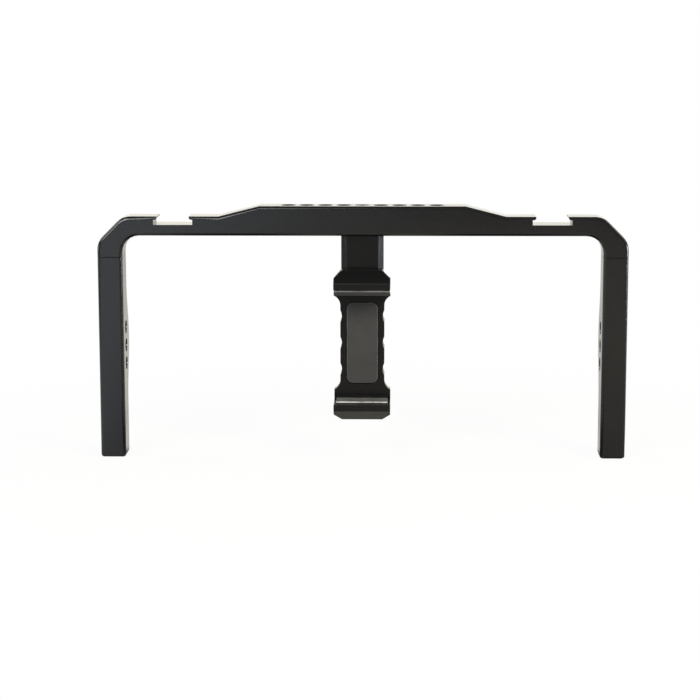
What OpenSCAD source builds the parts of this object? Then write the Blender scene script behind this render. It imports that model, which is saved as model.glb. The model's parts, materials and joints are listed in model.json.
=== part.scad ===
// Phone cage: a bar with two legs, and a phone clamp that hangs under the bar.
// +X is right, +Y is back (away from the phone) and +Z is up.
// The origin is on the ground under the middle of the bar.

/* [Frame] */
// Width across the outer faces of the legs
frame_w = 252; // [242:1:320]
// Depth of the bar and legs, front to back
frame_depth = 15; // [13:0.5:20]
// Height of the flat ends of the bar above the ground
frame_h = 116.4; // [110:0.1:160]
// Thickness of the bar at its flat ends
bar_h = 9.2; // [8:0.1:12]
// Height of the raised middle above the flat ends
raise_h = 4.9; // [2:0.1:8]
// Length of the raised middle's flat top
raise_w = 97.6; // [84:0.2:110]
// Length of each slope from the raised middle to the flat ends
slope_run = 19.4; // [10:0.2:26]
// Bevel across each top corner of the bar
corner_bevel = 12.2; // [6:0.2:14]
// Rounding at both ends of the corner bevel
corner_round = 9; // [1:0.5:10]
// Rounding inside each corner
inner_round = 8; // [2:0.5:9]
// Height of the corner stubs below the bar
stub_h = 10.3; // [9.5:0.1:16]

/* [Cold shoes] */
// Distance of each shoe's middle from the outer face of the leg beside it
shoe_inset = 36.2; // [30:0.1:40]
// Width of the slot that takes the accessory's foot
shoe_w = 18.6; // [18.4:0.1:19.2]
// Opening between the lips
shoe_opening = 15.3; // [12.5:0.1:16]
// Height of the slot
shoe_slot_h = 2.4; // [2:0.1:2.8]
// Thickness of the lips
shoe_lip_t = 1.5; // [1:0.1:2]
// Bevel under the tips of the lips
shoe_tip_bevel = 0.7; // [0.2:0.1:0.9]

/* [Threaded holes] */
// Bore of the accessory holes, at the thread's inner diameter
hole_d = 5.2; // [4.6:0.1:5.6]
// Distance between neighbouring holes
hole_pitch = 8.8; // [8.2:0.1:10]
// Number of holes along the bar, with the neck screw in the middle one
top_holes = 9; // [5:2:9]
// Width of the bevelled mouth of the holes in the bar
top_mouth_d = 7.2; // [6:0.1:8]
// Number of holes in each leg
leg_holes = 3; // [1:1:5]
// Height of the middle hole in each leg
leg_hole_z = 53.4; // [40:0.2:66]
// Distance of the leg holes behind the middle of the leg's depth
leg_hole_y = 2; // [-1:0.2:3]
// Width of the bevelled mouth of the holes in the legs
leg_mouth_d = 6.8; // [5.8:0.1:8]

/* [Legs] */
// Thickness of the legs, left to right
leg_t = 12; // [11:0.5:16]
// How far the palm swell stands out at the back
palm_swell = 6.4; // [2:0.2:9]
// Height of the middle of the palm swell
palm_z = 56; // [45:0.5:62]
// Length of the palm swell
palm_span = 57; // [40:1:68]
// Thickness of the tenon on top of each leg, left to right
tenon_w = 7; // [6:0.1:7.4]
// Depth of the tenon, front to back
tenon_d = 11; // [10.5:0.1:11.6]
// Height of the tenon
tenon_h = 7; // [6:0.1:7.6]
// Diameter of the leg screws
leg_screw_d = 2.5; // [2:0.1:3]
// Length of the leg screws
leg_screw_l = 8; // [6:0.2:9]
// Distance between the two screws of a leg
leg_screw_gap = 6.4; // [5.4:0.1:7]
// Height of the leg screws above the seam between leg and bar
leg_screw_rise = 3; // [2.6:0.1:3.4]

/* [Upper jaw and neck] */
// Width of the neck
neck_w = 20.2; // [18:0.2:24]
// Depth of the neck, front to back
neck_depth = 11; // [10:0.2:13]
// Bevel on the neck's front edges
neck_bevel = 2.4; // [0.5:0.1:3]
// Distance from the bar down to the top of the upper jaw
neck_l = 15.6; // [14:0.2:24]
// Width of the jaws
jaw_w = 26.8; // [25:0.1:32]
// Distance of the jaws' front faces from the middle of the bar's depth
jaw_front = 20; // [16:0.5:26]
// Height of the upright front of each jaw
jaw_lip_h = 3.1; // [2.6:0.1:5]
// Height of the slope behind it
jaw_slope_h = 5.4; // [3.6:0.1:7]
// Length of that slope, front to back
jaw_slope_run = 8; // [4:0.2:10]
// Width of the bevel on the jaws' outer corners
jaw_bevel_w = 3.8; // [1:0.1:5]
// Height of that bevel
jaw_bevel_h = 3.2; // [1:0.1:4.5]
// Diameter of the neck screw
neck_screw_d = 4; // [3:0.1:4.4]
// Length of the neck screw
neck_screw_l = 20; // [18:0.5:21.5]
// Diameter of the neck screw's head
neck_head_d = 7; // [6.4:0.1:7.6]
// Diameter of the neck dowels
dowel_d = 2; // [1.6:0.1:2.4]
// Length of the neck dowels
dowel_l = 6; // [4:0.2:6.4]
// Distance of each dowel from the middle of the bar's depth
dowel_y = 3; // [2.6:0.1:3.4]

/* [Clamp body] */
// Closed opening between the jaw pads
opening = 51; // [48:0.1:60]
// How far the clamp opens beyond that
travel = 36; // [24:0.5:38]
// Gap between the upper pad and the top of the clamp body when closed
body_gap = 1; // [0.6:0.1:3]
// Distance of the clamp body's face in front of the middle of the bar's depth
body_front = 5; // [4.4:0.1:7]
// Width of the clamp body between its flanges
body_w = 21; // [20.4:0.1:24]
// Height of the curved flare into each flange
flare_h = 4.6; // [3:0.1:5]
// Depth of the flares and flanges, front to back
flange_d = 5; // [4:0.1:6]
// Height of the straight edge of the top flange
top_flange_t = 1; // [0.8:0.1:2.4]
// Height of the straight edge of the bottom flange above the lower jaw
bottom_flange_t = 4.8; // [2.4:0.1:6]
// Height of the step behind the lower pad, above the pad
step_h = 1.2; // [0.6:0.1:2.4]
// Thickness of that step, front to back
step_t = 1.2; // [0.8:0.1:2]
// Number of finger scallops on each side
scallops = 3; // [1:1:4]
// Distance between neighbouring scallops
scallop_pitch = 12.8; // [8:0.1:14]
// Radius of the scallops
scallop_r = 6.4; // [4:0.1:9]
// Depth of the scallops
scallop_depth = 0.7; // [0.3:0.1:1]
// Thickness of the back cover
cover_t = 2.5; // [2:0.1:4]
// Diameter of the cover screws
cover_screw_d = 2; // [1.6:0.1:2.2]
// Length of the cover screws
cover_screw_l = 6.5; // [5:0.1:7]
// Distance of the cover screws from the middle
cover_screw_x = 7.7; // [7.4:0.1:8.2]
// Distance of the cover screws from the body's top and bottom ends
cover_screw_inset = 3.4; // [3:0.1:4]

/* [Rubber pads] */
// Width of the jaw pads
jaw_pad_w = 24.6; // [20:0.2:25]
// Distance of the upper pad behind its jaw's front face
upper_pad_inset = 0.8; // [0.6:0.1:2]
// Distance of the lower pad behind its jaw's front face
lower_pad_inset = 3; // [0.6:0.1:5]
// Thickness of the upper jaw's pad
upper_pad_t = 2.7; // [1:0.1:3.2]
// Thickness of the lower jaw's pad
lower_pad_t = 1.6; // [1.2:0.1:2.2]
// How far the lower pad stands above its jaw
lower_pad_proud = 1; // [0.2:0.1:1.1]
// Width of the centre pad
centre_pad_w = 14.8; // [12:0.2:16]
// Height of the centre pad
centre_pad_h = 38.8; // [34:0.2:40]
// Thickness of the centre pad
centre_pad_t = 1.6; // [1.3:0.1:2.4]
// Depth of the recess that holds the centre pad
pad_recess = 1.2; // [0.6:0.1:1.2]
// Corner rounding of the centre pad
pad_round = 3; // [1:0.2:4]
// Gap between the centre pad and the edge of its recess
pad_border = 0.4; // [0.2:0.1:0.8]

/* [Rail and lock] */
// Width of the slide rail
rail_w = 10.8; // [10:0.2:11.6]
// Thickness of the slide rail
rail_t = 4; // [3:0.1:4.6]
// Distance from the bar down to the top of the rail
rail_drop = 10; // [9.4:0.2:11]
// Length of solid rail below its slot
rail_end = 2.2; // [1.6:0.1:3]
// Diameter of the rail screws
rail_screw_d = 3; // [2:0.1:3]
// Length of the rail screws
rail_screw_l = 7; // [6:0.2:8]
// Distance between the two rail screws
rail_screw_gap = 7; // [6:0.1:7.4]
// Diameter of the lock screw
lock_d = 5; // [4:0.1:5.4]
// How far the centre pad reaches above the clamp nut
nut_cover = 0.8; // [0.4:0.1:2]
// Width across the flats of the lock screw's head and nut
hex_w = 8; // [7.4:0.1:9]
// Height of the lock screw's head
hex_head_h = 3.5; // [2.5:0.1:5]
// Thickness of the clamp nut
nut_t = 2.7; // [2:0.1:3.2]
// Wall between the clamp nut and the rail's channel
nut_wall = 1; // [0.8:0.1:2]
// Diameter of the lock washer
washer_d = 14; // [11:0.2:16]
// Thickness of the lock washer
washer_t = 1; // [0.6:0.1:2]
// Diameter of the lock knob
knob_d = 18; // [16:0.2:20]
// Length of the lock knob
knob_l = 12.2; // [11.4:0.1:18]
// Thickness of the knob between its front face and the screw's head
knob_web = 5.2; // [3:0.1:6]
// Number of grip flutes round the knob
knob_flutes = 24; // [12:1:30]
// Radius of the grip flutes
flute_r = 0.7; // [0.3:0.1:0.9]
// Bevel at both ends of the knob
knob_bevel = 0.9; // [0.4:0.1:1.4]
// Diameter of the knob cap
cap_d = 12; // [10.8:0.1:13]
// Thickness of the knob cap
cap_t = 2.6; // [1.6:0.1:2.8]

/* [Clearances] */
// Gap on each side of faces that slide
slide_gap = 0.2; // [0.1:0.05:0.3]
// Gap round a screw in a plain hole
hole_gap = 0.2; // [0.1:0.05:0.3]
// Gap round a screw in its thread, and round a seated piece
seat_gap = 0.06; // [0.04:0.01:0.1]
// Gap at the blind end of a hole or pocket
end_gap = 0.4; // [0.2:0.1:0.6]

/* [Hidden] */
$fn = 48;

anodised = [0.16, 0.16, 0.17];
rubber = [0.26, 0.26, 0.26];
dark_steel = [0.22, 0.22, 0.23];
bright_steel = [0.62, 0.62, 0.64];
nylon = [0.12, 0.12, 0.12];

// A countersunk head is a cone at 45 degrees, this much wider than its shank
head_ratio = 1.9;
// A hexagon socket is this share of the screw's diameter across its corners, and this share deep
socket_ratio = 0.72;
socket_depth_ratio = 0.5;
// Countersunk heads lie this far below the surface
head_sink = 0.1;
// Cuts reach this far past the faces that they open
cut = 1;
// Steps along a quarter turn of an outline, and along the palm swell
arc_steps = 6;
palm_steps = 28;

// Heights, from the ground up
bar_z = frame_h - bar_h;
raise_z = frame_h + raise_h;
seam_z = bar_z - stub_h;
jaw_top_z = bar_z - neck_l;
jaw_t = jaw_lip_h + jaw_slope_h;
jaw_under_z = jaw_top_z - jaw_t;
upper_pad_z = jaw_under_z - upper_pad_t;
lower_pad_z = upper_pad_z - opening;
ledge_z = lower_pad_z - lower_pad_proud;
body_top_z = upper_pad_z - body_gap;
body_bottom_z = ledge_z - jaw_t;
flare_top_z = body_top_z - top_flange_t;
flare_bottom_z = ledge_z + bottom_flange_t;
column_mid_z = (flare_top_z + flare_bottom_z) / 2;
lock_z = column_mid_z + centre_pad_h / 2 - nut_cover - hex_w / 2;
slot_r = lock_d / 2 + hole_gap + slide_gap;
rail_top_z = bar_z - rail_drop;
rail_bottom_z = lock_z - travel - slot_r - rail_end;
leg_screw_z = seam_z + leg_screw_rise;
rail_screw_mid_z = (rail_top_z + jaw_under_z) / 2;

// Depths, from the front to the back of the clamp
slope_back_y = -jaw_front + jaw_slope_run;
step_y = -body_front - step_t;
flange_y = -body_front + flange_d;
recess_y = -body_front + pad_recess;
nut_y = recess_y + nut_t;
channel_y = nut_y + nut_wall;
rail_y = channel_y + slide_gap;
cover_y = rail_y + rail_t + slide_gap;
washer_y = cover_y + cover_t;
knob_y = washer_y + washer_t;
head_y = knob_y + knob_web;
cap_y = head_y + hex_head_h + end_gap;
neck_back = neck_depth / 2;

leg_mid_x = frame_w / 2 - leg_t / 2;
shoe_x = frame_w / 2 - shoe_inset;
half_depth = frame_depth / 2;
column_half = body_w / 2;
jaw_half = jaw_w / 2;
hex_r = hex_w / 2 / cos(30);

// Points of an arc about a centre, in the plane of the outline
function arc(centre, r, from, to) =
    [for (i = [0:arc_steps]) let (a = from + (to - from) * i / arc_steps) centre + r * [cos(a), sin(a)]];

// The mirror image of an outline's points across its upright middle line, in reverse order
function mirrored(points) = [for (i = [len(points) - 1:-1:0]) [-points[i][0], points[i][1]]];

// Draws an outline given in X and Z as a plate from one depth to another
module plate(y0, y1, points) {
    translate([0, y1, 0]) rotate([90, 0, 0]) linear_extrude(y1 - y0) polygon(points);
}

// Draws an outline given in Y and Z as a slab of a given width about the middle
module slab(width, points) {
    rotate([90, 0, 90]) translate([0, 0, -width / 2]) linear_extrude(width) polygon(points);
}

module block(low, high) {
    translate(low) cube(high - low);
}

module rod_y(x, z, y0, y1, r) {
    translate([x, y1, z]) rotate([90, 0, 0]) cylinder(r = r, h = y1 - y0);
}

// A bore along +Z from the origin down, with a bevelled mouth at the origin
module bored_down(bore_d, mouth_d, depth) {
    mouth_h = (mouth_d - bore_d) / 2;
    translate([0, 0, -depth]) cylinder(d = bore_d, h = depth + cut);
    translate([0, 0, -mouth_h]) cylinder(d1 = bore_d, d2 = mouth_d + 2 * cut, h = mouth_h + cut);
}

// A bore along Z through a wall centred on the origin, with a bevelled mouth at each face
module bored_through(bore_d, mouth_d, wall_t) {
    for (turn = [0, 180])
        rotate([turn, 0, 0]) translate([0, 0, wall_t / 2]) bored_down(bore_d, mouth_d, wall_t / 2 + cut);
}

// A countersunk screw along Z with its head's top just below the origin and its tip at -length
module countersunk_screw(d, head_d, length) {
    head_h = (head_d - d) / 2;
    difference() {
        union() {
            translate([0, 0, -length]) cylinder(d = d, h = length - head_sink);
            translate([0, 0, -head_h - head_sink]) cylinder(d1 = d, d2 = head_d, h = head_h);
        }
        translate([0, 0, -head_sink - d * socket_depth_ratio])
            cylinder(d = d * socket_ratio, h = d * socket_depth_ratio + cut, $fn = 6);
    }
}

// The clearance for that screw: plain through the first piece, and close where it is threaded
module countersunk_hole(d, head_d, length, plain_l) {
    mouth_d = head_d + 2 * (head_sink + seat_gap);
    bored_down(d + 2 * hole_gap, mouth_d, plain_l);
    translate([0, 0, -length - end_gap]) cylinder(d = d + 2 * seat_gap, h = length + end_gap);
}

// Top bar

// Right half of the cold shoe's cut, from its middle line outwards
function shoe_half() = let (floor_z = frame_h - shoe_lip_t - shoe_slot_h, lip_z = frame_h - shoe_lip_t) [
    [0, floor_z],
    [shoe_w / 2, floor_z],
    [shoe_w / 2, lip_z],
    [shoe_opening / 2 + shoe_tip_bevel, lip_z],
    [shoe_opening / 2, lip_z + shoe_tip_bevel],
    [shoe_opening / 2, frame_h + cut],
    [0, frame_h + cut]];

// Right half of the bar's outline, from the middle of its underside round to the middle of its top
function bar_half() = let (
    inner_x = frame_w / 2 - leg_t,
    outer_x = frame_w / 2,
    back_off = corner_round * tan(22.5),
    low_centre = [outer_x - corner_round, frame_h - corner_bevel - back_off],
    high_centre = [outer_x - corner_bevel - back_off, frame_h - corner_round])
    concat(
        [[0, bar_z]],
        arc([inner_x - inner_round, bar_z - inner_round], inner_round, 90, 0),
        [[inner_x, seam_z], [outer_x, seam_z]],
        arc(low_centre, corner_round, 0, 45),
        arc(high_centre, corner_round, 45, 90),
        [[raise_w / 2 + slope_run, frame_h], [raise_w / 2, raise_z], [0, raise_z]]);

module leg_pocket(side) {
    w = tenon_w / 2 + seat_gap;
    d = tenon_d / 2 + seat_gap;
    x = side * leg_mid_x;
    block([x - w, -d, seam_z - cut], [x + w, d, seam_z + tenon_h + end_gap]);
}

// Places its children at each of a leg's screws, pointing out of the leg's outer face
module at_leg_screws(side) {
    for (y = [-1, 1] * leg_screw_gap / 2)
        translate([side * frame_w / 2, y, leg_screw_z]) rotate([0, side * 90, 0]) children();
}

module leg_screw_holes(side) {
    at_leg_screws(side)
        countersunk_hole(leg_screw_d, leg_screw_d * head_ratio, leg_screw_l, (leg_t - tenon_w) / 2);
}

// Places its children at the two dowels, each between the neck screw and the hole beside it
module at_dowels() {
    for (side = [-1, 1]) translate([side * hole_pitch / 2, side * dowel_y, bar_z - dowel_l / 2]) children();
}

module dowel_holes() {
    at_dowels() translate([0, 0, -end_gap / 2]) cylinder(d = dowel_d + 2 * seat_gap, h = dowel_l + end_gap);
}

module neck_screw_hole() {
    translate([0, 0, raise_z]) countersunk_hole(neck_screw_d, neck_head_d, neck_screw_l, raise_z - bar_z);
}

module top_bar() {
    middle = (top_holes - 1) / 2;
    color(anodised) difference() {
        plate(-half_depth, half_depth, concat(bar_half(), mirrored(bar_half())));
        for (x = [-shoe_x, shoe_x]) translate([x, 0, 0])
            plate(-half_depth - cut, half_depth + cut, concat(shoe_half(), mirrored(shoe_half())));
        for (i = [-middle:middle]) if (i != 0)
            translate([i * hole_pitch, 0, (bar_z + raise_z) / 2])
                bored_through(hole_d, top_mouth_d, raise_z - bar_z);
        neck_screw_hole();
        dowel_holes();
        for (side = [-1, 1]) {
            leg_pocket(side);
            leg_screw_holes(side);
        }
    }
}

// Legs

function palm(z) = abs(z - palm_z) >= palm_span / 2 ? 0 :
    palm_swell * (1 + cos(360 * (z - palm_z) / palm_span)) / 2;

// The leg's side outline: flat in front, with the palm swell behind
function leg_side() = concat(
    [[half_depth, 0], [-half_depth, 0], [-half_depth, seam_z], [half_depth, seam_z]],
    [for (i = [0:palm_steps]) let (z = palm_z + palm_span * (0.5 - i / palm_steps))
        [half_depth + palm(z), z]]);

module leg(side) {
    middle = (leg_holes - 1) / 2;
    color(anodised) translate([side * leg_mid_x, 0, 0]) difference() {
        union() {
            slab(leg_t, leg_side());
            block([-tenon_w / 2, -tenon_d / 2, seam_z - cut], [tenon_w / 2, tenon_d / 2, seam_z + tenon_h]);
        }
        for (i = [-middle:middle])
            translate([0, leg_hole_y, leg_hole_z + i * hole_pitch]) rotate([0, 90, 0])
                bored_through(hole_d, leg_mouth_d, leg_t);
        translate([-side * leg_mid_x, 0, 0]) leg_screw_holes(side);
    }
}

module leg_screws(side) {
    color(dark_steel) at_leg_screws(side)
        countersunk_screw(leg_screw_d, leg_screw_d * head_ratio, leg_screw_l);
}

module left_leg() { leg(-1); }

module right_leg() { leg(1); }

module left_leg_screws() { leg_screws(-1); }

module right_leg_screws() { leg_screws(1); }

// Neck fasteners

module neck_screw() {
    color(dark_steel) translate([0, 0, raise_z]) countersunk_screw(neck_screw_d, neck_head_d, neck_screw_l);
}

module neck_dowels() {
    color(bright_steel) at_dowels() cylinder(d = dowel_d, h = dowel_l);
}

// Upper jaw

// Right half of the upper jaw's front outline
function upper_jaw_half() = [
    [0, jaw_under_z],
    [jaw_half, jaw_under_z],
    [jaw_half, jaw_top_z - jaw_bevel_h],
    [jaw_half - jaw_bevel_w, jaw_top_z],
    [0, jaw_top_z]];

// Right half of the jaw's plan above its lip: it narrows to the neck's width where its front slope ends
function jaw_plan_half() = [
    [0, -jaw_front],
    [jaw_half, -jaw_front],
    [jaw_half, slope_back_y - (jaw_half - neck_w / 2)],
    [neck_w / 2, slope_back_y],
    [neck_w / 2, neck_back],
    [0, neck_back]];

module upper_jaw() {
    neck_half = neck_w / 2;
    color(anodised) difference() {
        union() {
            block([-jaw_half, -jaw_front, jaw_under_z], [jaw_half, neck_back, jaw_under_z + jaw_lip_h]);
            intersection() {
                plate(-jaw_front, neck_back, concat(upper_jaw_half(), mirrored(upper_jaw_half())));
                slab(jaw_w, [
                    [-jaw_front, jaw_under_z],
                    [neck_back, jaw_under_z],
                    [neck_back, jaw_top_z],
                    [slope_back_y, jaw_top_z],
                    [-jaw_front, jaw_under_z + jaw_lip_h]]);
                translate([0, 0, jaw_under_z]) linear_extrude(jaw_t)
                    polygon(concat(jaw_plan_half(), mirrored(jaw_plan_half())));
            }
            translate([0, 0, jaw_top_z - cut]) linear_extrude(neck_l + cut) polygon([
                [-neck_half, neck_back],
                [-neck_half, -neck_back + neck_bevel],
                [-neck_half + neck_bevel, -neck_back],
                [neck_half - neck_bevel, -neck_back],
                [neck_half, -neck_back + neck_bevel],
                [neck_half, neck_back]]);
        }
        rail_half = rail_w / 2 + seat_gap;
        block([-rail_half, rail_y, jaw_under_z - cut], [rail_half, neck_back + cut, rail_top_z + seat_gap]);
        rail_screw_holes();
        neck_screw_hole();
        dowel_holes();
    }
}

module upper_jaw_pad() {
    color(rubber) block(
        [-jaw_pad_w / 2, -jaw_front + upper_pad_inset, upper_pad_z],
        [jaw_pad_w / 2, -body_front, jaw_under_z]);
}

// Slide rail

module at_rail_screws() {
    for (z = [-1, 1] * rail_screw_gap / 2)
        translate([0, rail_y + rail_t, rail_screw_mid_z + z]) rotate([-90, 0, 0]) children();
}

module rail_screw_holes() {
    at_rail_screws() countersunk_hole(rail_screw_d, rail_screw_d * head_ratio, rail_screw_l, rail_t);
}

module slide_rail() {
    color(dark_steel) difference() {
        block([-rail_w / 2, rail_y, rail_bottom_z], [rail_w / 2, rail_y + rail_t, rail_top_z]);
        for (z = [lock_z - travel, lock_z]) rod_y(0, z, rail_y - cut, rail_y + rail_t + cut, slot_r);
        block([-slot_r, rail_y - cut, lock_z - travel], [slot_r, rail_y + rail_t + cut, lock_z]);
        rail_screw_holes();
    }
}

module rail_screws() {
    color(dark_steel) at_rail_screws()
        countersunk_screw(rail_screw_d, rail_screw_d * head_ratio, rail_screw_l);
}

// Clamp body

// Radius of the flare that runs smoothly out of the column's side
flare_w = jaw_half - column_half;
flare_r = (flare_w * flare_w + flare_h * flare_h) / (2 * flare_w);
flare_turn = asin(flare_h / flare_r);

// Right half of the body's front outline, from the middle of its bottom round to the middle of its top
function body_half() = concat(
    [[0, body_bottom_z], [jaw_half - jaw_bevel_w, body_bottom_z], [jaw_half, body_bottom_z + jaw_bevel_h]],
    arc([column_half + flare_r, flare_bottom_z + flare_h], flare_r, 180 + flare_turn, 180),
    arc([column_half + flare_r, flare_top_z - flare_h], flare_r, 180, 180 - flare_turn),
    [[jaw_half, body_top_z], [0, body_top_z]]);

module scallop_cuts(y0, y1) {
    for (side = [-1, 1]) for (i = [0:scallops - 1])
        rod_y(side * (column_half + scallop_r - scallop_depth),
            column_mid_z + (i - (scallops - 1) / 2) * scallop_pitch, y0 - cut, y1 + cut, scallop_r);
}

// The straight column behind the flanges
module column(y0, y1) {
    block([-column_half, y0, body_bottom_z], [column_half, y1, body_top_z]);
}

module rounded_panel(w, h, r, y0, y1) {
    for (x = [-1, 1]) for (z = [-1, 1])
        rod_y(x * (w / 2 - r), column_mid_z + z * (h / 2 - r), y0, y1, r);
    block([-w / 2, y0, column_mid_z - h / 2 + r], [w / 2, y1, column_mid_z + h / 2 - r]);
    block([-w / 2 + r, y0, column_mid_z - h / 2], [w / 2 - r, y1, column_mid_z + h / 2]);
}

module at_cover_screws() {
    low_z = body_bottom_z + cover_screw_inset;
    high_z = body_top_z - cover_screw_inset;
    for (x = [-cover_screw_x, cover_screw_x]) for (z = [low_z, high_z])
        translate([x, washer_y, z]) rotate([-90, 0, 0]) children();
}

module cover_screw_holes() {
    at_cover_screws() countersunk_hole(cover_screw_d, cover_screw_d * head_ratio, cover_screw_l, cover_t);
}

module lock_bore() {
    rod_y(0, lock_z, -body_front - cut, washer_y + cut, lock_d / 2 + hole_gap);
}

// The space that the lower pad fills, with a gap round it
module lower_pad_space(gap) {
    half = jaw_pad_w / 2 + gap;
    block([-half, -jaw_front + lower_pad_inset - gap, lower_pad_z - lower_pad_t],
        [half, step_y - seat_gap + gap, lower_pad_z]);
}

module hexagon(y0, y1, r) {
    translate([0, y1, lock_z]) rotate([90, 0, 0]) cylinder(r = r, h = y1 - y0, $fn = 6);
}

module clamp_body() {
    channel_half = rail_w / 2 + slide_gap;
    color(anodised) difference() {
        union() {
            plate(-body_front, flange_y, concat(body_half(), mirrored(body_half())));
            column(flange_y, cover_y);
            block([-jaw_pad_w / 2, step_y, ledge_z - cut], [jaw_pad_w / 2, recess_y, lower_pad_z + step_h]);
            intersection() {
                plate(-jaw_front, flange_y, [
                    [jaw_half - jaw_bevel_w, body_bottom_z],
                    [jaw_half, body_bottom_z + jaw_bevel_h],
                    [jaw_half, ledge_z],
                    [-jaw_half, ledge_z],
                    [-jaw_half, body_bottom_z + jaw_bevel_h],
                    [-jaw_half + jaw_bevel_w, body_bottom_z]]);
                slab(jaw_w, [
                    [-jaw_front, ledge_z],
                    [-jaw_front, ledge_z - jaw_lip_h],
                    [slope_back_y, body_bottom_z],
                    [flange_y, body_bottom_z],
                    [flange_y, ledge_z]]);
            }
        }
        scallop_cuts(-body_front, cover_y);
        lower_pad_space(seat_gap);
        rounded_panel(centre_pad_w + 2 * pad_border, centre_pad_h + 2 * pad_border, pad_round + pad_border,
            -body_front - cut, recess_y);
        hexagon(recess_y - cut, nut_y, hex_r + seat_gap);
        block([-channel_half, channel_y, rail_bottom_z - cut],
            [channel_half, cover_y + cut, body_top_z + cut]);
        lock_bore();
        cover_screw_holes();
    }
}

module lower_jaw_pad() {
    color(rubber) lower_pad_space(0);
}

module centre_pad() {
    color(rubber) rounded_panel(centre_pad_w, centre_pad_h, pad_round, recess_y - centre_pad_t, recess_y);
}

module back_cover() {
    color(anodised) difference() {
        column(cover_y, washer_y);
        scallop_cuts(cover_y, washer_y);
        lock_bore();
        cover_screw_holes();
    }
}

module cover_screws() {
    color(dark_steel) at_cover_screws()
        countersunk_screw(cover_screw_d, cover_screw_d * head_ratio, cover_screw_l);
}

module clamp_nut() {
    color(bright_steel) difference() {
        hexagon(recess_y, nut_y, hex_r);
        rod_y(0, lock_z, recess_y - cut, nut_y + cut, lock_d / 2 + seat_gap);
    }
}

// Lock

module lock_washer() {
    color(nylon) difference() {
        rod_y(0, lock_z, washer_y, knob_y, washer_d / 2);
        rod_y(0, lock_z, washer_y - cut, knob_y + cut, lock_d / 2 + hole_gap);
    }
}

module lock_knob() {
    r = knob_d / 2;
    color(anodised) difference() {
        translate([0, knob_y, lock_z]) rotate([-90, 0, 0]) rotate_extrude() polygon([
            [0, 0],
            [r - knob_bevel, 0],
            [r, knob_bevel],
            [r, knob_l - knob_bevel],
            [r - knob_bevel, knob_l],
            [0, knob_l]]);
        for (i = [0:knob_flutes - 1]) let (a = 360 * i / knob_flutes)
            rod_y(r * cos(a), lock_z + r * sin(a), knob_y - cut, knob_y + knob_l + cut, flute_r);
        rod_y(0, lock_z, knob_y - cut, head_y + cut, lock_d / 2 + seat_gap);
        hexagon(head_y, cap_y + cut, hex_r + seat_gap);
        rod_y(0, lock_z, cap_y, knob_y + knob_l + cut, cap_d / 2 + seat_gap);
    }
}

module lock_screw() {
    color(bright_steel) {
        rod_y(0, lock_z, recess_y + end_gap, head_y + cut, lock_d / 2);
        hexagon(head_y, head_y + hex_head_h, hex_r);
    }
}

module knob_cap() {
    color(nylon) rod_y(0, lock_z, cap_y, cap_y + cap_t, cap_d / 2);
}

top_bar();
left_leg();
right_leg();
left_leg_screws();
right_leg_screws();
neck_screw();
neck_dowels();
upper_jaw();
upper_jaw_pad();
slide_rail();
rail_screws();
clamp_body();
lower_jaw_pad();
centre_pad();
back_cover();
cover_screws();
clamp_nut();
lock_washer();
lock_knob();
lock_screw();
knob_cap();
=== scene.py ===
# %% [markdown]
# # A phone cage, from bare solids to a studio picture
# The cage is a black aluminium bar with a leg at each end and a phone clamp hanging under its middle.
# Its solids come from CAD, so every size is already right, but their edges are knife sharp and they have
# no finish. In this lesson the edges are rounded, the threads are cut, the rubber is moulded and the
# finishes are mixed. Nothing that the frame gives is moved or resized: a piece that needs a better shape
# starts as a copy of its solid, or is modelled afresh in the same place.

# %% Load the frame
import json
import math

import bmesh
import bpy
from mathutils import Matrix, Vector


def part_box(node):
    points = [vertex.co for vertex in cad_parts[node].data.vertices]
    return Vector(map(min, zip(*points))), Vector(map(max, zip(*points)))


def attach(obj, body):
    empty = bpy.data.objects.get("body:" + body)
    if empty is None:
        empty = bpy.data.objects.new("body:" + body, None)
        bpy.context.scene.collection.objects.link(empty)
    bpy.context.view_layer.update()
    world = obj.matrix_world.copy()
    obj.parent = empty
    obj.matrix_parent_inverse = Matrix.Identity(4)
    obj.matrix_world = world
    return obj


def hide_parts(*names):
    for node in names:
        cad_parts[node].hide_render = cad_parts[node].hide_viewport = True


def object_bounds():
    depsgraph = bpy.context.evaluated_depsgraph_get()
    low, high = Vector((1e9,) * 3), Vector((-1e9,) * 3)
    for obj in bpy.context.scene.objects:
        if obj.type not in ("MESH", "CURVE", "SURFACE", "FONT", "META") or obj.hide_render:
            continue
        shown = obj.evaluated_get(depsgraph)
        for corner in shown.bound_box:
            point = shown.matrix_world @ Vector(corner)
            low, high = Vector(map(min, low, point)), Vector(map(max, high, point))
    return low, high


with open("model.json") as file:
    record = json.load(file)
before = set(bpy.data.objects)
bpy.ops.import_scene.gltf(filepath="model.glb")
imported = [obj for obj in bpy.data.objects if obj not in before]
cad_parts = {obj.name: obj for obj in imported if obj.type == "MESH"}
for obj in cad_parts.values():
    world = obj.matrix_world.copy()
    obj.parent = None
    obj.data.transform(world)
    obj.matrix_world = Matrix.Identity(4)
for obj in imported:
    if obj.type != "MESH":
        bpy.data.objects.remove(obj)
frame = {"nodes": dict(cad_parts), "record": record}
cad_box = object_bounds()
nodes = frame["nodes"]
mounts = frame["record"]["mounts"]
MM = 0.001
print("CAD box in mm:", [round((high - low) / MM, 1) for low, high in zip(*cad_box)])

# %% [markdown]
# ## Camera
# The picture was taken from a little above, with a long lens about a metre away. A camera can be aimed
# with a constraint, but here it is set by three turns, because they can be read as plain facts: how far
# it is swung round, how far it looks down, and how little it leans. The lens follows from the width of
# the picture in pixels and the distance, also in pixels, from the lens to the picture.

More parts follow.
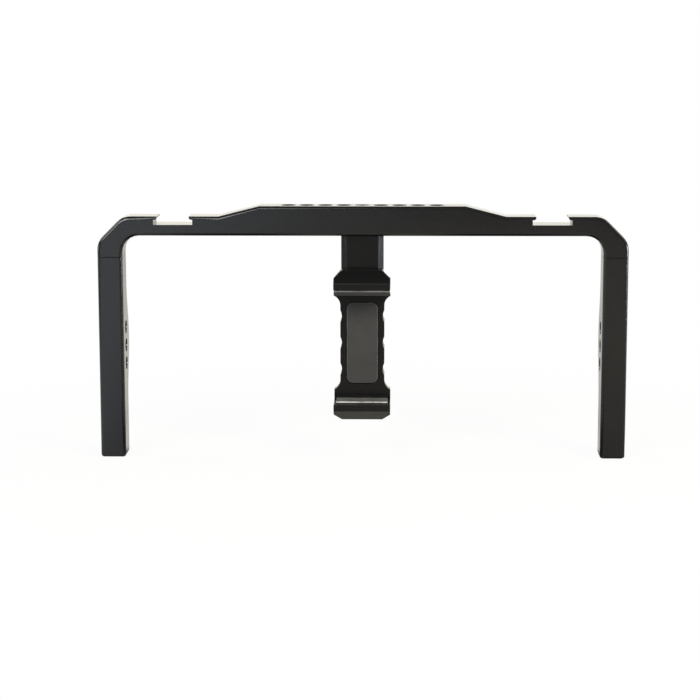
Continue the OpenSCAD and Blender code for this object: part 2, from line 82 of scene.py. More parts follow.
# %% Camera
picture_width_px = 700
focal_length_px = 2136
swung_round = math.radians(1.447)
looks_down = math.radians(9.42)
leans = math.radians(-0.0763)
camera_place = Vector((19.562, -1012.434, 219.490)) * MM
camera = bpy.data.objects.new("camera", bpy.data.cameras.new("camera"))
camera.data.sensor_width = 36
camera.data.lens = camera.data.sensor_width * focal_length_px / picture_width_px
camera.matrix_world = (
    Matrix.Translation(camera_place)
    @ Matrix.Rotation(swung_round, 4, "Z")
    @ Matrix.Rotation(math.radians(90) - looks_down, 4, "X")
    @ Matrix.Rotation(leans, 4, "Z")
)
bpy.context.scene.collection.objects.link(camera)
bpy.context.scene.camera = camera
bpy.context.scene.view_settings.view_transform = "Standard"
print("lens in mm:", round(camera.data.lens, 2))

# %% [markdown]
# ## Studio
# The cage stands on white paper. Black metal shows little colour of its own, so what it mirrors matters
# most, and a photographer lays pale and dark cards round such an object to shape its reflections. Here the
# floor itself does that: the camera sees plain white paper, and reflections see cards on it. They are pale
# in front, under the clamp and outside the legs, dark under the bar and far out to the sides, and white
# behind and at the front left. The pale card under the clamp is painted light where the floor lies in the
# cage's shade, and the dark card under the bar is painted shade. The white at the front left is a painted
# pool of lamp light that fades near the cage, and the white behind is dimmed at the right as painted shade.
# So the tops and inner sides turn pale, and the rounded edges draw black lines. The white starts closer
# behind the legs than behind the clamp, so that the legs' inner sides are pale down to their feet. The
# paper could be lit until it burns out to white, but then the metal would be lit too strongly as well.
# Round the cage the paper stays partly matt, so that it takes the cage's shadow.

# %% Sums and mixes
def combine(tree, operation, first, second):
    """One sum on two values."""
    node = tree.nodes.new("ShaderNodeMath")
    node.operation = operation
    tree.links.new(first, node.inputs[0])
    tree.links.new(second, node.inputs[1])
    return node.outputs[0]


def tint(tree, factor, at_zero, at_one):
    """A colour between two, where each is a plain colour or another node's colour."""
    mix = tree.nodes.new("ShaderNodeMix")
    mix.data_type = "RGBA"
    tree.links.new(factor, mix.inputs["Factor"])
    for socket, colour in ((mix.inputs[6], at_zero), (mix.inputs[7], at_one)):
        if isinstance(colour, tuple):
            socket.default_value = (*colour, 1)
        else:
            tree.links.new(colour, socket)
    return mix.outputs[2]


def ramp(tree, value, low, high, at_low=0.0, at_high=1.0):
    """A smooth step from at_low to at_high while the value goes from low to high."""
    step = tree.nodes.new("ShaderNodeMapRange")
    step.interpolation_type = "SMOOTHSTEP"
    step.inputs["From Min"].default_value = low
    step.inputs["From Max"].default_value = high
    step.inputs["To Min"].default_value = at_low
    step.inputs["To Max"].default_value = at_high
    tree.links.new(value, step.inputs["Value"])
    return step.outputs[0]


# %% Light path switch
def white_where(tree, lit):
    """A value that is 1 for camera rays, and as much as lit says for rays from metal or through glass."""
    path = tree.nodes.new("ShaderNodeLightPath")
    mirrored = combine(tree, "MAXIMUM", path.outputs["Is Glossy Ray"], path.outputs["Is Transmission Ray"])
    return combine(tree, "MAXIMUM", path.outputs["Is Camera Ray"], combine(tree, "MULTIPLY", mirrored, lit))


def for_camera(tree, mirrored_colour, seen_colour):
    """One colour for the camera, and another in reflections."""
    path = tree.nodes.new("ShaderNodeLightPath")
    return tint(tree, path.outputs["Is Camera Ray"], mirrored_colour, seen_colour)


# %% Floor
floor_size = 400
bm = bmesh.new()
bmesh.ops.create_grid(bm, x_segments=1, y_segments=1, size=floor_size / 2)
floor = bpy.data.objects.new("floor", bpy.data.meshes.new("floor"))
bm.to_mesh(floor.data)
bm.free()
bpy.context.scene.collection.objects.link(floor)
paper = bpy.data.materials.new("white_paper")
paper.use_nodes = True
tree = paper.node_tree
matt = tree.nodes["Principled BSDF"]
matt.inputs["Roughness"].default_value = 0.9
matt.inputs["Specular IOR Level"].default_value = 0
floor.data.materials.append(paper)
print("floor:", floor_size, "m square")

# %% Cards on the floor
# Each border is soft, and has the two places where it starts and ends, in metres from the cage's middle.
paper_border = (0.42, 0.54)
front_border = (-0.2, -0.14)
clamp_border = (0.03, 0.05)
leg_border = (0.1, 0.118)
paper_white = (0.9, 0.9, 0.9)
pale_grey = (0.27, 0.27, 0.27)
# Under the clamp the reflections see this pale card as painted light, where the floor lies in the cage's
# shade.
painted_light_card = (0.48, 0.48, 0.46)
# Under the bar the reflections see this dark card as painted shade, the bar's shadow; off the paper the
# same dark stands for the room.
dark_card_and_painted_shade = (0.02, 0.02, 0.02)
place = tree.nodes.new("ShaderNodeTexCoord")
axes = tree.nodes.new("ShaderNodeSeparateXYZ")
tree.links.new(place.outputs["Object"], axes.inputs[0])
aside = tree.nodes.new("ShaderNodeMath")
aside.operation = "ABSOLUTE"
tree.links.new(axes.outputs["X"], aside.inputs[0])
on_paper = ramp(tree, aside.outputs[0], *paper_border, 1, 0)
in_front = ramp(tree, axes.outputs["Y"], *front_border, 1, 0)
under_clamp = ramp(tree, aside.outputs[0], *clamp_border, 1, 0)
under_legs = ramp(tree, aside.outputs[0], *leg_border)
beneath = tint(tree, under_clamp, tint(tree, under_legs, dark_card_and_painted_shade, pale_grey), painted_light_card)
mirrored_floor = tint(tree, on_paper, dark_card_and_painted_shade, tint(tree, in_front, beneath, pale_grey))
tree.links.new(for_camera(tree, mirrored_floor, paper_white), matt.inputs["Base Color"])
print("paper in reflections:", 2 * paper_border[0], "m wide")

# %% Where the paper is white
# These borders are soft too. Near the cage a small share of the paper stays matt and takes its shadow. The
# white at the front left is a painted pool of lamp light, and the dimmed white at the right is painted
# shade. At the right of the cage, and near it at the front left, the white is dimmed to the shares given
# here.
shadow_share = 0.06
shadow_border = (0.1, 0.35)
leg_strip_x = (0.09, 0.1)
leg_strip_y = (0.0, 0.02)
back_white_y = (0.0, 0.13)
left_to_right = (-0.1, 0.1)
painted_shade_right_share = 0.86
left_white_x = (-0.17, -0.08)
left_white_y = (-0.9, -0.3)
painted_light_near_share = 0.76
distance = tree.nodes.new("ShaderNodeVectorMath")
distance.operation = "LENGTH"
tree.links.new(place.outputs["Object"], distance.inputs[0])
plain_white = ramp(tree, distance.outputs["Value"], *shadow_border, 1 - shadow_share, 1)
behind_legs = ramp(tree, aside.outputs[0], *leg_strip_x)
behind_legs = combine(tree, "MULTIPLY", behind_legs, ramp(tree, axes.outputs["Y"], *leg_strip_y))
behind = combine(tree, "MAXIMUM", behind_legs, ramp(tree, axes.outputs["Y"], *back_white_y))
behind = combine(tree, "MULTIPLY", behind, ramp(tree, axes.outputs["X"], *left_to_right, 1, painted_shade_right_share))
painted_left_light = combine(tree, "MULTIPLY", on_paper, ramp(tree, axes.outputs["X"], *left_white_x, 1, 0))
painted_left_light = combine(tree, "MULTIPLY", painted_left_light, ramp(tree, axes.outputs["Y"], *left_white_y, 1, painted_light_near_share))
share = combine(tree, "MULTIPLY", plain_white, white_where(tree, combine(tree, "MAXIMUM", behind, painted_left_light)))
print("share of the floor that takes the shadow near the cage:", shadow_share)

# %% White of the paper
pure_white = (1.0, 1.0, 1.0)
cool_white = (0.84, 0.92, 1.0)
warm_white = (1.0, 0.965, 0.87)
glow = tree.nodes.new("ShaderNodeEmission")
# The cool white is the colour of the painted lamp light at the front left.
mirrored_white = tint(tree, behind, cool_white, warm_white)
tree.links.new(for_camera(tree, mirrored_white, pure_white), glow.inputs["Color"])
glow.inputs["Strength"].default_value = 1
blend = tree.nodes.new("ShaderNodeMixShader")
tree.links.new(share, blend.inputs[0])
tree.links.new(matt.outputs[0], blend.inputs[1])
tree.links.new(glow.outputs[0], blend.inputs[2])
tree.links.new(blend.outputs[0], tree.nodes["Material Output"].inputs["Surface"])
print("whites in reflections:", cool_white, warm_white)

# %% World
room_light = 0.12
sweep_top = (0.25, 0.45)
sweep_sides = (0.3, 0.6)
world = bpy.data.worlds.new("studio")
bpy.context.scene.world = world
world.use_nodes = True
tree = world.node_tree
room = tree.nodes["Background"]
room.inputs["Color"].default_value = (1, 1, 1, 1)
room.inputs["Strength"].default_value = room_light
sweep = tree.nodes.new("ShaderNodeBackground")
tree.links.new(for_camera(tree, warm_white, pure_white), sweep.inputs["Color"])
sweep.inputs["Strength"].default_value = 1
direction = tree.nodes.new("ShaderNodeTexCoord")
axes = tree.nodes.new("ShaderNodeSeparateXYZ")
tree.links.new(direction.outputs["Generated"], axes.inputs[0])
low_down = ramp(tree, axes.outputs["Z"], *sweep_top, 1, 0)
behind = combine(tree, "MULTIPLY", low_down, ramp(tree, axes.outputs["Y"], *sweep_sides))
blend = tree.nodes.new("ShaderNodeMixShader")
tree.links.new(white_where(tree, behind), blend.inputs[0])
tree.links.new(room.outputs[0], blend.inputs[1])
tree.links.new(sweep.outputs[0], blend.inputs[2])
tree.links.new(blend.outputs[0], tree.nodes["World Output"].inputs["Surface"])
print("light of the room:", room_light)


# %% Lamps
def soft_lamp(name, place, aim, size, watts, colour, mirrored=True):
    """A lamp panel of some width and height that faces a point, and may be kept out of reflections."""
    lamp = bpy.data.lights.new(name, "AREA")
    lamp.shape = "RECTANGLE"
    lamp.size, lamp.size_y = size
    lamp.energy = watts
    lamp.color = colour
    holder = bpy.data.objects.new(name, lamp)
    towards = Vector(aim) - Vector(place)
    holder.matrix_world = Matrix.Translation(place) @ towards.to_track_quat("-Z", "Y").to_matrix().to_4x4()
    holder.visible_camera = False
    holder.visible_glossy = mirrored
    bpy.context.scene.collection.objects.link(holder)


# Each lamp has a name, a place, the point that it faces, its width and height, its watts and its colour.
cage_middle = (cad_box[0] + cad_box[1]) / 2
soft_lamp("upper_lamp", (-0.7, -1.28, 0.9), cage_middle, (0.9, 1.1), 22, (0.97, 0.985, 1.0))
soft_lamp("floor_lamp", (0.5, -0.5, 0.5), (0.2, -0.3, 0), (0.3, 0.3), 5, (1.0, 0.86, 0.64), mirrored=False)
soft_lamp("left_corner_lamp", (-1.0, 0.25, 0.7), cage_middle, (0.5, 0.5), 4, (1.0, 0.94, 0.85))
soft_lamp("right_corner_lamp", (1.0, 0.25, 0.7), cage_middle, (0.5, 0.5), 2, (1.0, 0.94, 0.85))
soft_lamp("back_lamp", (0.0, 1.8, 0.3), cage_middle, (1.0, 0.5), 0.9, (1.0, 0.98, 0.93))
soft_lamp("right_side_lamp", (1.1, -0.25, 0.08), cage_middle, (0.3, 0.3), 7, (0.85, 0.92, 1.0))
soft_lamp("left_side_lamp", (-1.1, -0.25, 0.08), cage_middle, (0.3, 0.3), 1.5, (0.95, 1.0, 0.9))
print("lamps:", [lamp.name for lamp in bpy.data.lights])

# %% [markdown]
# ## Finishes
# Every finish here is more than one colour. Blasted and anodised aluminium has a fine even grain, faint
# clouds where the dye took differently, and edges that are rubbed to a slightly different colour from the
# flats. The grain and clouds are one node group, and the rubbed edges another, so each finish only gives
# its own values. The rubbed edges could be found from the mesh's curvature, but that spreads over wide
# faces, so the rounding step below marks its own faces instead, in an attribute called fillet.

# %% Node group helper
def new_group(name, inputs, outputs):
    """A shader node group with number inputs and number outputs, and its two end nodes."""
    group = bpy.data.node_groups.new(name, "ShaderNodeTree")
    for socket_name, value in inputs.items():
        socket = group.interface.new_socket(socket_name, in_out="INPUT", socket_type="NodeSocketFloat")
        socket.default_value = value
    for socket_name in outputs:
        group.interface.new_socket(socket_name, in_out="OUTPUT", socket_type="NodeSocketFloat")
    return group, group.nodes.new("NodeGroupInput"), group.nodes.new("NodeGroupOutput")


# %% Grain and clouds
noise_low = 0.3
noise_high = 0.7
grain_group, start, end = new_group("grain_and_clouds", {"Grain": 3000, "Clouds": 30}, ["Height", "Cloud"])
place = grain_group.nodes.new("ShaderNodeTexCoord")
for size_name, detail, output_name in (("Grain", 2, "Height"), ("Clouds", 4, "Cloud")):
    noise = grain_group.nodes.new("ShaderNodeTexNoise")
    noise.inputs["Detail"].default_value = detail
    grain_group.links.new(place.outputs["Object"], noise.inputs["Vector"])
    grain_group.links.new(start.outputs[size_name], noise.inputs["Scale"])
    stretch = grain_group.nodes.new("ShaderNodeMapRange")
    stretch.inputs["From Min"].default_value = noise_low
    stretch.inputs["From Max"].default_value = noise_high
    grain_group.links.new(noise.outputs["Fac"], stretch.inputs["Value"])
    grain_group.links.new(stretch.outputs[0], end.inputs[output_name])
print("group:", grain_group.name)

# %% Rubbed edges and painted highlights
# The marks are real wear on metal edges, and painted highlights on the rubber pads.
edge_group, start, end = new_group("rubbed_edges_and_painted_highlights", {"Patches": 250}, ["Rubbed"])
mark = edge_group.nodes.new("ShaderNodeAttribute")
mark.attribute_name = "fillet"
place = edge_group.nodes.new("ShaderNodeTexCoord")
noise = edge_group.nodes.new("ShaderNodeTexNoise")
noise.inputs["Detail"].default_value = 3
edge_group.links.new(place.outputs["Object"], noise.inputs["Vector"])
edge_group.links.new(start.outputs["Patches"], noise.inputs["Scale"])
patchy = edge_group.nodes.new("ShaderNodeMath")
patchy.operation = "MULTIPLY"
edge_group.links.new(mark.outputs["Fac"], patchy.inputs[0])
edge_group.links.new(noise.outputs["Fac"], patchy.inputs[1])
edge_group.links.new(patchy.outputs[0], end.inputs["Rubbed"])
print("group:", edge_group.name)

# %% Finish maker
bump_strength = 0.4


def finish(name, dark, light, wear_and_highlight_colour, rough, grain, bump_depth, **plain):
    """A material from the two groups: colours, a roughness range, grain sizes and plain shader values."""
    material = bpy.data.materials.new(name)
    material.use_nodes = True
    tree = material.node_tree
    shader = tree.nodes["Principled BSDF"]
    for socket_name, value in plain.items():
        shader.inputs[socket_name.replace("_", " ")].default_value = value
    surface = tree.nodes.new("ShaderNodeGroup")
    surface.node_tree = grain_group
    surface.inputs["Grain"].default_value, surface.inputs["Clouds"].default_value = grain
    edges = tree.nodes.new("ShaderNodeGroup")
    edges.node_tree = edge_group
    wear_and_highlight_mix = tint(tree, edges.outputs["Rubbed"], tint(tree, surface.outputs["Cloud"], dark, light), wear_and_highlight_colour)
    tree.links.new(wear_and_highlight_mix, shader.inputs["Base Color"])
    gloss = tree.nodes.new("ShaderNodeMapRange")
    gloss.inputs["To Min"].default_value, gloss.inputs["To Max"].default_value = rough
    tree.links.new(surface.outputs["Cloud"], gloss.inputs["Value"])
    tree.links.new(gloss.outputs[0], shader.inputs["Roughness"])
    bump = tree.nodes.new("ShaderNodeBump")
    bump.inputs["Strength"].default_value = bump_strength
    bump.inputs["Distance"].default_value = bump_depth
    tree.links.new(surface.outputs["Height"], bump.inputs["Height"])
    tree.links.new(bump.outputs[0], shader.inputs["Normal"])
    return material


# %% Finishes
anodised = finish("satin_anodised", (0.006, 0.006, 0.0065), (0.009, 0.009, 0.0095), (0.008, 0.008, 0.008),
                  rough=(0.14, 0.19), grain=(6000, 28), bump_depth=0.000015, IOR=1.6)
clamp_black = finish("clamp_black", (0.0042, 0.0042, 0.0044), (0.0062, 0.0062, 0.0064), (0.02, 0.02, 0.02),
                     rough=(0.2, 0.26), grain=(6000, 40), bump_depth=0.000015, IOR=1.4)
# The rubber's pale third colour is a painted highlight on the centre pad's rounded rim.
rubber = finish("moulded_rubber", (0.036, 0.036, 0.035), (0.046, 0.046, 0.045), (0.15, 0.15, 0.145),
                rough=(0.55, 0.68), grain=(1500, 90), bump_depth=0.00006, IOR=1.45)
# The jaw pads' rubber is darker than the centre pad's, and its pale third colour is a painted highlight.
painted_highlight_rubber = finish("painted_highlight_rubber", (0.018, 0.018, 0.018), (0.026, 0.026, 0.025), (0.8, 0.8, 0.77),
                     rough=(0.5, 0.62), grain=(1500, 90), bump_depth=0.00006, IOR=1.45)
black_steel = finish("oiled_steel", (0.02, 0.02, 0.021), (0.035, 0.035, 0.036), (0.09, 0.09, 0.09),
                     rough=(0.28, 0.40), grain=(2400, 200), bump_depth=0.00002, Metallic=0.5)
bright_steel = finish("zinc_steel", (0.46, 0.46, 0.47), (0.58, 0.58, 0.58), (0.7, 0.7, 0.7),
                      rough=(0.22, 0.34), grain=(2400, 300), bump_depth=0.00002, Metallic=1.0)
nylon = finish("turned_nylon", (0.012, 0.012, 0.012), (0.02, 0.02, 0.02), (0.03, 0.03, 0.03),
               rough=(0.45, 0.6), grain=(1200, 120), bump_depth=0.00003, IOR=1.5)
print("finishes:", len(bpy.data.materials))

# %% [markdown]
# ## Copies of the solids
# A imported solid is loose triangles. To round its edges, a copy is first merged into one skin, and the
# triangles of each flat are joined back into one face. Bevel then works on whole edges, as a machinist's
# edge tool does.

# %% Copy a solid
merge_reach = 0.002 * MM
flat_limit = math.radians(0.5)


def copy_of(node):
    """A solid's mesh as one skin, with whole faces and a layer that will mark the rounded ones."""
    bm = bmesh.new()
    bm.from_mesh(nodes[node].data)
    bmesh.ops.remove_doubles(bm, verts=bm.verts, dist=merge_reach)
    bmesh.ops.dissolve_limit(bm, angle_limit=flat_limit, verts=bm.verts, edges=bm.edges)
    bm.faces.layers.float.new("fillet")
    return bm


# %% Round chosen edges
def anywhere(point):
    """The choice of edges when none is made."""
    return True


def round_edges(bm, radius, chosen=anywhere, segments=4, least_turn=30, clamp=True):
    """Rounds the outer edges that turn more than least_turn degrees and whose middle is chosen."""
    edges = []
    for edge in bm.edges:
        if not edge.is_manifold or edge.calc_face_angle_signed() < math.radians(least_turn):
            continue
        if chosen((edge.verts[0].co + edge.verts[1].co) / 2):
            edges.append(edge)
    made = bmesh.ops.bevel(bm, geom=edges, offset=radius, offset_type="OFFSET", affect="EDGES",
                           segments=segments, profile=0.5, material=-1,
                           clamp_overlap=clamp, loop_slide=True)
    mark = bm.faces.layers.float["fillet"]
    for face in made["faces"]:
        face[mark] = 1


# %% Turn a bmesh into a piece
broad_face = 60 * MM * MM
soft_turn = 35
broad_turn = 5


def add_piece(bm, name, body, material, slot, *stands_for):
    """Shades a bmesh, makes it an object on a body and lets it stand for solids of the frame."""
    for face in bm.faces:
        face.smooth = True
    for edge in bm.edges:
        turn = math.degrees(edge.calc_face_angle(0))
        broad = all(face.calc_area() > broad_face for face in edge.link_faces)
        edge.smooth = turn < soft_turn and not (broad and turn > broad_turn)
    mesh = bpy.data.meshes.new(name)
    bm.to_mesh(mesh)
    bm.free()
    mesh.materials.clear()
    mesh.materials.append(material)
    piece = bpy.data.objects.new(name, mesh)
    bpy.context.scene.collection.objects.link(piece)
    flats = piece.modifiers.new("flat_faces", "WEIGHTED_NORMAL")
    flats.keep_sharp = True
    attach(piece, body)
    if stands_for:
        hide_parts(*stands_for)
    print(name, "faces:", len(mesh.polygons))
    return piece


# %% [markdown]
# ## Threaded holes
# The accessory holes are tapped. The CAD bore is the thread's inner diameter, so in the copy each bore is
# first opened to the thread's outer diameter, and its bevelled mouth is shortened to match. Where that
# uses the bevel up, the two rings of points that meet are merged. The thread itself is one small tooth
# spun into a helix that climbs by one pitch a turn. A bump texture would be cheaper, but it would show no
# teeth at the edge of the hole.

# %% Open the bores
thread_pitch = 1.27 * MM
thread_depth = 0.5 * MM
wall_slack = 0.05 * MM
end_slack = 0.1 * MM
tapped = [mount for mount in mounts if mount["kind"] == "threaded_hole"]
print("tapped holes:", len(tapped))


def open_bores(bm, holes):
    """Moves the bore walls out by the thread's depth, and their ends out along the 45 degree mouths."""
    for hole in holes:
        middle = Vector(hole["pos_m"])
        axis = Vector(hole["axis"])
        radius = hole["dims"]["r_mm"] * MM
        reach = hole["dims"]["length_mm"] / 2 * MM
        for vert in bm.verts:
            along = (vert.co - middle).dot(axis)
            outwards = vert.co - middle - axis * along
            if abs(outwards.length - radius) < wall_slack and abs(along) < reach + end_slack:
                vert.co += outwards.normalized() * thread_depth + axis * math.copysign(thread_depth, along)
    bmesh.ops.remove_doubles(bm, verts=bm.verts, dist=merge_reach)


# %% Spin the threads
steps_a_turn = 18
sunk_in_wall = 0.05 * MM


def spin_threads(holes):
    """One helical ridge for each hole, from end to end of its bore."""
    bm = bmesh.new()
    for hole in holes:
        middle = Vector(hole["pos_m"])
        axis = Vector(hole["axis"])
        inner = hole["dims"]["r_mm"] * MM
        length = hole["dims"]["length_mm"] * MM - 0.5 * thread_pitch
        outer = inner + thread_depth + sunk_in_wall
        out = axis.orthogonal().normalized()
        foot = middle - axis * length / 2
        # Each corner of the tooth: its distance from the axis, and its place along it in pitches.
        section = ((outer, -0.42), (inner, -0.08), (inner, 0.08), (outer, 0.42))
        corners = [bm.verts.new(foot + out * far + axis * along * thread_pitch) for far, along in section]
        tooth = bm.faces.new(corners)
        steps = round(length / thread_pitch * steps_a_turn)
        bmesh.ops.spin(bm, geom=[tooth, *tooth.edges, *corners], cent=middle, axis=axis, steps=steps,
                       dvec=axis * thread_pitch / steps_a_turn, angle=math.tau * steps / steps_a_turn)
    bmesh.ops.recalc_face_normals(bm, faces=bm.faces)
    bm.faces.layers.float.new("fillet")
    return bm


# %% [markdown]
# ## Top bar
# The bar is milled from one block. Its front and back edges are rounded all the way round, and the edges
# inside the two cold shoes, where an accessory's foot slides, are only broken. So are the edges where the
# legs meet it, a little more than the legs' own, so that each seam shows as one dark line. At the tips of
# the lips the rounding runs past the short end face on to the bevel under it, so the points that
# overshoot are slid out along that bevel.

# %% Places on the bar
bar_low, bar_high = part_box("top_bar")
edge_round = 1.6 * MM
broken_edge = 0.2 * MM
bar_seam_edge = 0.25 * MM
leg_seam_edge = 0.08 * MM
near = 0.01 * MM
shoe_places = [Vector(mount["pos_m"]) for mount in mounts if mount["kind"] == "slide"]
shoe_reach = 9.8 * MM
shoe_depth = 3 * MM
lip_top_z = 116.4 * MM
lip_opening = 15.3 * MM
tip_height = 0.8 * MM
pocket_low = Vector((116.3, -5.7, 0)) * MM
pocket_high = Vector((123.7, 5.7, 0)) * MM
print("bar ends in mm:", round(bar_low.x / MM, 1), round(bar_high.x / MM, 1))


def in_shoe(point):
    """Whether a point is inside one of the cold shoes."""
    beside = any(abs(point.x - place.x) < shoe_reach for place in shoe_places)
    return beside and shoe_places[0].z - shoe_depth < point.z < lip_top_z - near


def on_bar_face(point):
    """Whether a point is on the bar's front or back."""
    return min(abs(point.y - bar_low.y), abs(point.y - bar_high.y)) < near


def on_seam(point):
    """Whether a point is level with the seams between bar and legs."""
    return abs(point.z - bar_low.z) < near


def round_seam(bm, radius):
    """Breaks the outer edges of a seam, but not those of the pocket inside it."""
    def on_rim(point):
        in_pocket = pocket_low.x < abs(point.x) < pocket_high.x and pocket_low.y < point.y < pocket_high.y
        return on_seam(point) and not in_pocket

    round_edges(bm, radius, on_rim, segments=1, clamp=False)


# %% Top bar
bar = copy_of("top_bar")
round_edges(bar, edge_round, lambda p: on_bar_face(p) and not in_shoe(p) and not on_seam(p), clamp=False)
for vert in bar.verts:
    for place in shoe_places:
        off_tip = abs(abs(vert.co.x - place.x) - lip_opening / 2)
        below = lip_top_z - tip_height - vert.co.z
        if off_tip < near and 0 < below < edge_round:
            vert.co.x += math.copysign(below, vert.co.x - place.x)
round_edges(bar, broken_edge, lambda p: on_bar_face(p) and in_shoe(p), segments=2, clamp=False)
round_seam(bar, bar_seam_edge)
top_holes = [hole for hole in tapped if abs(hole["axis"][2]) > 0.5]
open_bores(bar, top_holes)
add_piece(bar, "bar", "frame", anodised, "anodised_black", "top_bar")
add_piece(spin_threads(top_holes), "bar_threads", "frame", clamp_black, "anodised_black")

# %% [markdown]
# ## Legs
# Each leg has a swell behind for the palm. Its long edges are rounded like the bar's, so the two meet
# without a step at the seam, and its foot is rounded a little so that it doesn't scratch.

# %% Legs
foot_round = 1.4 * MM
for side in ("left", "right"):
    low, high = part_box(side + "_leg")
    leg = copy_of(side + "_leg")

    def on_long_edge(point):
        """Whether a point is on one of the leg's four long edges."""
        on_side = min(abs(point.x - low.x), abs(point.x - high.x)) < near
        on_face = abs(point.y - low.y) < near or point.y > bar_high.y - near
        return on_side and on_face and near < point.z < bar_low.z - near

    round_edges(leg, edge_round, on_long_edge)
    round_edges(leg, foot_round, lambda p: p.z < near)
    round_seam(leg, leg_seam_edge)
    leg_holes = [hole for hole in tapped if low.x < hole["pos_m"][0] < high.x]
    open_bores(leg, leg_holes)
    add_piece(leg, side + "_grip_leg", "frame", anodised, "anodised_black", side + "_leg")
    add_piece(spin_threads(leg_holes), side + "_leg_threads", "frame", clamp_black, "anodised_black")

# %% [markdown]
# ## Jaws and clamp body
# The neck and upper jaw are one milled piece under the bar, and the clamp body carries the lower jaw.
# They are darker than the bar, and their edges are only just rounded. Faces that lie against another
# piece, such as the top of the neck or the back of the body, keep their sharp edges.

# %% Upper jaw
jaw_round = 0.45 * MM
seat_gap = 0.2 * MM
jaw_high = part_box("upper_jaw")[1]
rail_low, rail_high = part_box("slide_rail")


def outside_upper_jaw(point):
    """Whether a point is neither under the bar nor in the rail's seat."""
    in_rail_seat = abs(point.x) < rail_high.x + seat_gap and point.y > rail_low.y - near
    return point.z < jaw_high.z - near and not in_rail_seat


upper_jaw = copy_of("upper_jaw")
round_edges(upper_jaw, jaw_round, outside_upper_jaw)
add_piece(upper_jaw, "jaw_and_neck", "frame", clamp_black, "anodised_black", "upper_jaw")

# %% Clamp body
body_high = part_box("clamp_body")[1]
body_round = 0.3 * MM
clamp_body = copy_of("clamp_body")
round_edges(clamp_body, body_round, lambda p: p.y < body_high.y - near)
add_piece(clamp_body, "clamp_block", "clamp", clamp_black, "anodised_black", "clamp_body")

# %% Back cover
cover_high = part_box("back_cover")[1]
back_cover = copy_of("back_cover")
round_edges(back_cover, body_round, lambda p: p.y > cover_high.y - near)
add_piece(back_cover, "clamp_cover", "clamp", clamp_black, "anodised_black", "back_cover")

# %% Slide rail
rail_round = 0.25 * MM
slide_rail = copy_of("slide_rail")
round_edges(slide_rail, rail_round)
add_piece(slide_rail, "clamp_rail", "frame", black_steel, "black_steel", "slide_rail")

# %% [markdown]
# ## Rubber pads
# The pads are moulded rubber, a little lighter than the metal. The two in the jaws carry painted
# highlights: pale patches along their upper front edges where light falls on them, and on the lower one a
# paler painted top as well. A cushion would be blown up with cloth simulation, but a thin sheet of firm
# rubber keeps its moulded shape, so each pad is modelled directly: its edges are cut from a plain block
# with bevels of different sizes. The upper pad starts a little wider than its solid, because the rubber
# reaches almost to the edges of the jaw.

# %% Block to start from
def block(low, high):
    """A plain block between two corners."""
    bm = bmesh.new()
    bmesh.ops.create_cube(bm, size=1)
    bmesh.ops.scale(bm, vec=high - low, verts=bm.verts)
    bmesh.ops.translate(bm, vec=(low + high) / 2, verts=bm.verts)
    bm.faces.layers.float.new("fillet")
    return bm


def facing(bm, direction):
    """The face that faces a direction most squarely."""
    bm.normal_update()
    return max(bm.faces, key=lambda face: face.normal.dot(direction))


up = Vector((0, 0, 1))

# %% Pad with painted highlight
lowest_turn = 5


def pad_with_painted_highlight(low, high, radius, painted_highlight_level, highest_turn):
    """A block whose upper front edge is rounded, and painted pale as a highlight up to a turn from the
    front, in degrees.
    """
    bm = block(low, high)
    round_edges(bm, radius, lambda p: p.z > high.z - near and p.y < low.y + near)
    round_edges(bm, broken_edge, least_turn=60)
    bm.normal_update()
    mark = bm.faces.layers.float["fillet"]
    for face in bm.faces:
        turn = math.degrees(math.atan2(face.normal.z, -face.normal.y))
        face[mark] = painted_highlight_level if lowest_turn < turn < highest_turn else 0
    return bm


# %% Upper jaw pad
low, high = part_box("upper_jaw_pad")
edge_inset = 0.2 * MM
to_jaw_edge = Vector((jaw_high.x - high.x - edge_inset, 0, 0))
upper_pad = pad_with_painted_highlight(low - to_jaw_edge, high + to_jaw_edge, radius=0.9 * MM, painted_highlight_level=0.42, highest_turn=45)
upper_rubber = add_piece(upper_pad, "upper_rubber", "frame", painted_highlight_rubber, "grey_rubber", "upper_jaw_pad")

# %% Lower jaw pad
low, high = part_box("lower_jaw_pad")
painted_top_light_level = 0.23
lower_pad = pad_with_painted_highlight(low, high, radius=0.45 * MM, painted_highlight_level=1.3, highest_turn=85)
# The lower pad's top is painted paler as well, as light from above falls on it.
facing(lower_pad, up)[lower_pad.faces.layers.float["fillet"]] = painted_top_light_level
lower_rubber = add_piece(lower_pad, "lower_rubber", "clamp", painted_highlight_rubber, "grey_rubber", "lower_jaw_pad")

# %% Centre pad
pad_round = 3 * MM
pad_rim = 0.3 * MM
low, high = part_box("centre_pad")
centre_pad = block(low, high)
upright = [edge for edge in centre_pad.edges if abs((edge.verts[0].co - edge.verts[1].co).y) > near]
bmesh.ops.bevel(centre_pad, geom=upright, offset=pad_round, offset_type="OFFSET", affect="EDGES",
                segments=8, profile=0.5, material=-1)
# Its rounded front rim is marked for the rubber's painted highlight.
round_edges(centre_pad, pad_rim, lambda p: p.y < low.y + near)
centre_rubber = add_piece(centre_pad, "centre_rubber", "clamp", rubber, "grey_rubber", "centre_pad")

# %% [markdown]
# ## Lock knob
# The knob behind the clamp locks it on its rail. It is knurled with 24 flutes, and a domed cap closes it
# over the head of the screw. The cap is a short profile spun once round the screw's axis.

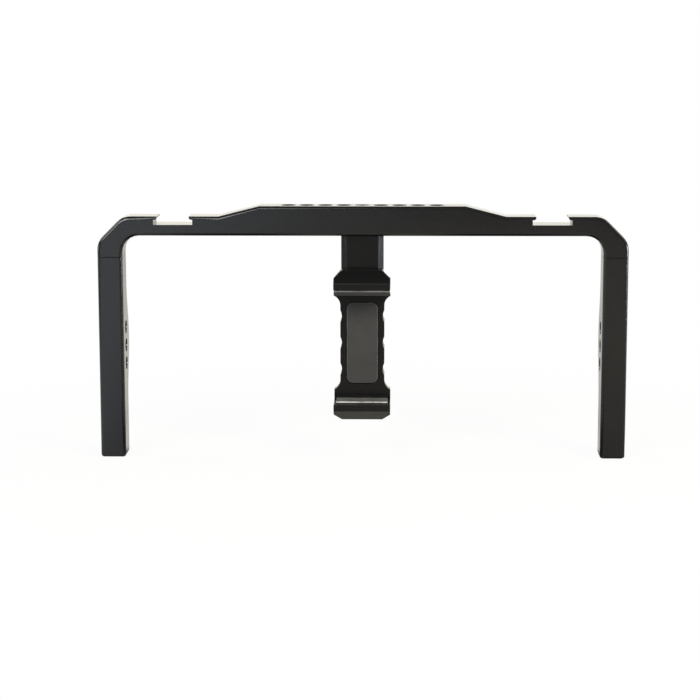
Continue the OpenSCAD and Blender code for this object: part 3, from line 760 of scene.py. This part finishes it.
# %% Knob
flute_round = 0.15 * MM
knob = copy_of("lock_knob")
round_edges(knob, flute_round, segments=2)
add_piece(knob, "fluted_knob", "knob", anodised, "anodised_black", "lock_knob")

# %% Knob cap
cap_low, cap_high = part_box("knob_cap")
cap_middle = (cap_low + cap_high) / 2
cap_r = cap_high.x - cap_middle.x
# Each point of the profile: its share of the cap's radius, and its depth under the dome in mm.
profile = ((0, 0), (0.45, -0.04), (0.62, -0.10), (0.68, -0.22), (0.74, -0.22), (0.80, -0.12), (0.94, -0.20),
           (1.0, -0.45), (1.0, -2.6), (0, -2.6))
cap = bmesh.new()
points = [cap.verts.new((cap_middle.x + r * cap_r, cap_high.y + y * MM, cap_middle.z)) for r, y in profile]
edges = [cap.edges.new(pair) for pair in zip(points, points[1:])]
bmesh.ops.spin(cap, geom=[*points, *edges], cent=cap_middle, axis=(0, 1, 0), angle=math.tau, steps=48,
               use_merge=True)
bmesh.ops.remove_doubles(cap, verts=cap.verts, dist=merge_reach)
bmesh.ops.recalc_face_normals(cap, faces=cap.faces)
cap.faces.layers.float.new("fillet")
add_piece(cap, "domed_cap", "knob", nylon, "black_nylon", "knob_cap")

# %% [markdown]
# ## Screws and small pieces
# The fasteners keep the shape of their solids. Each copy only has its edges broken, so that the rims of
# the heads and sockets catch a little light.

# %% Screws and small pieces
screw_round = 0.1 * MM
slot_finishes = {"black_steel": black_steel, "bright_steel": bright_steel, "black_nylon": nylon}
small_pieces = (
    ("left_leg_screws", "frame", "black_steel"), ("right_leg_screws", "frame", "black_steel"),
    ("neck_screw", "frame", "black_steel"), ("rail_screws", "frame", "black_steel"),
    ("neck_dowels", "frame", "bright_steel"), ("cover_screws", "clamp", "black_steel"),
    ("clamp_nut", "clamp", "bright_steel"), ("lock_screw", "knob", "bright_steel"),
    ("lock_washer", "washer", "black_nylon"),
)
for node, body, slot in small_pieces:
    fastener = copy_of(node)
    round_edges(fastener, screw_round, segments=2)
    add_piece(fastener, node + "_finished", body, slot_finishes[slot], slot, node)
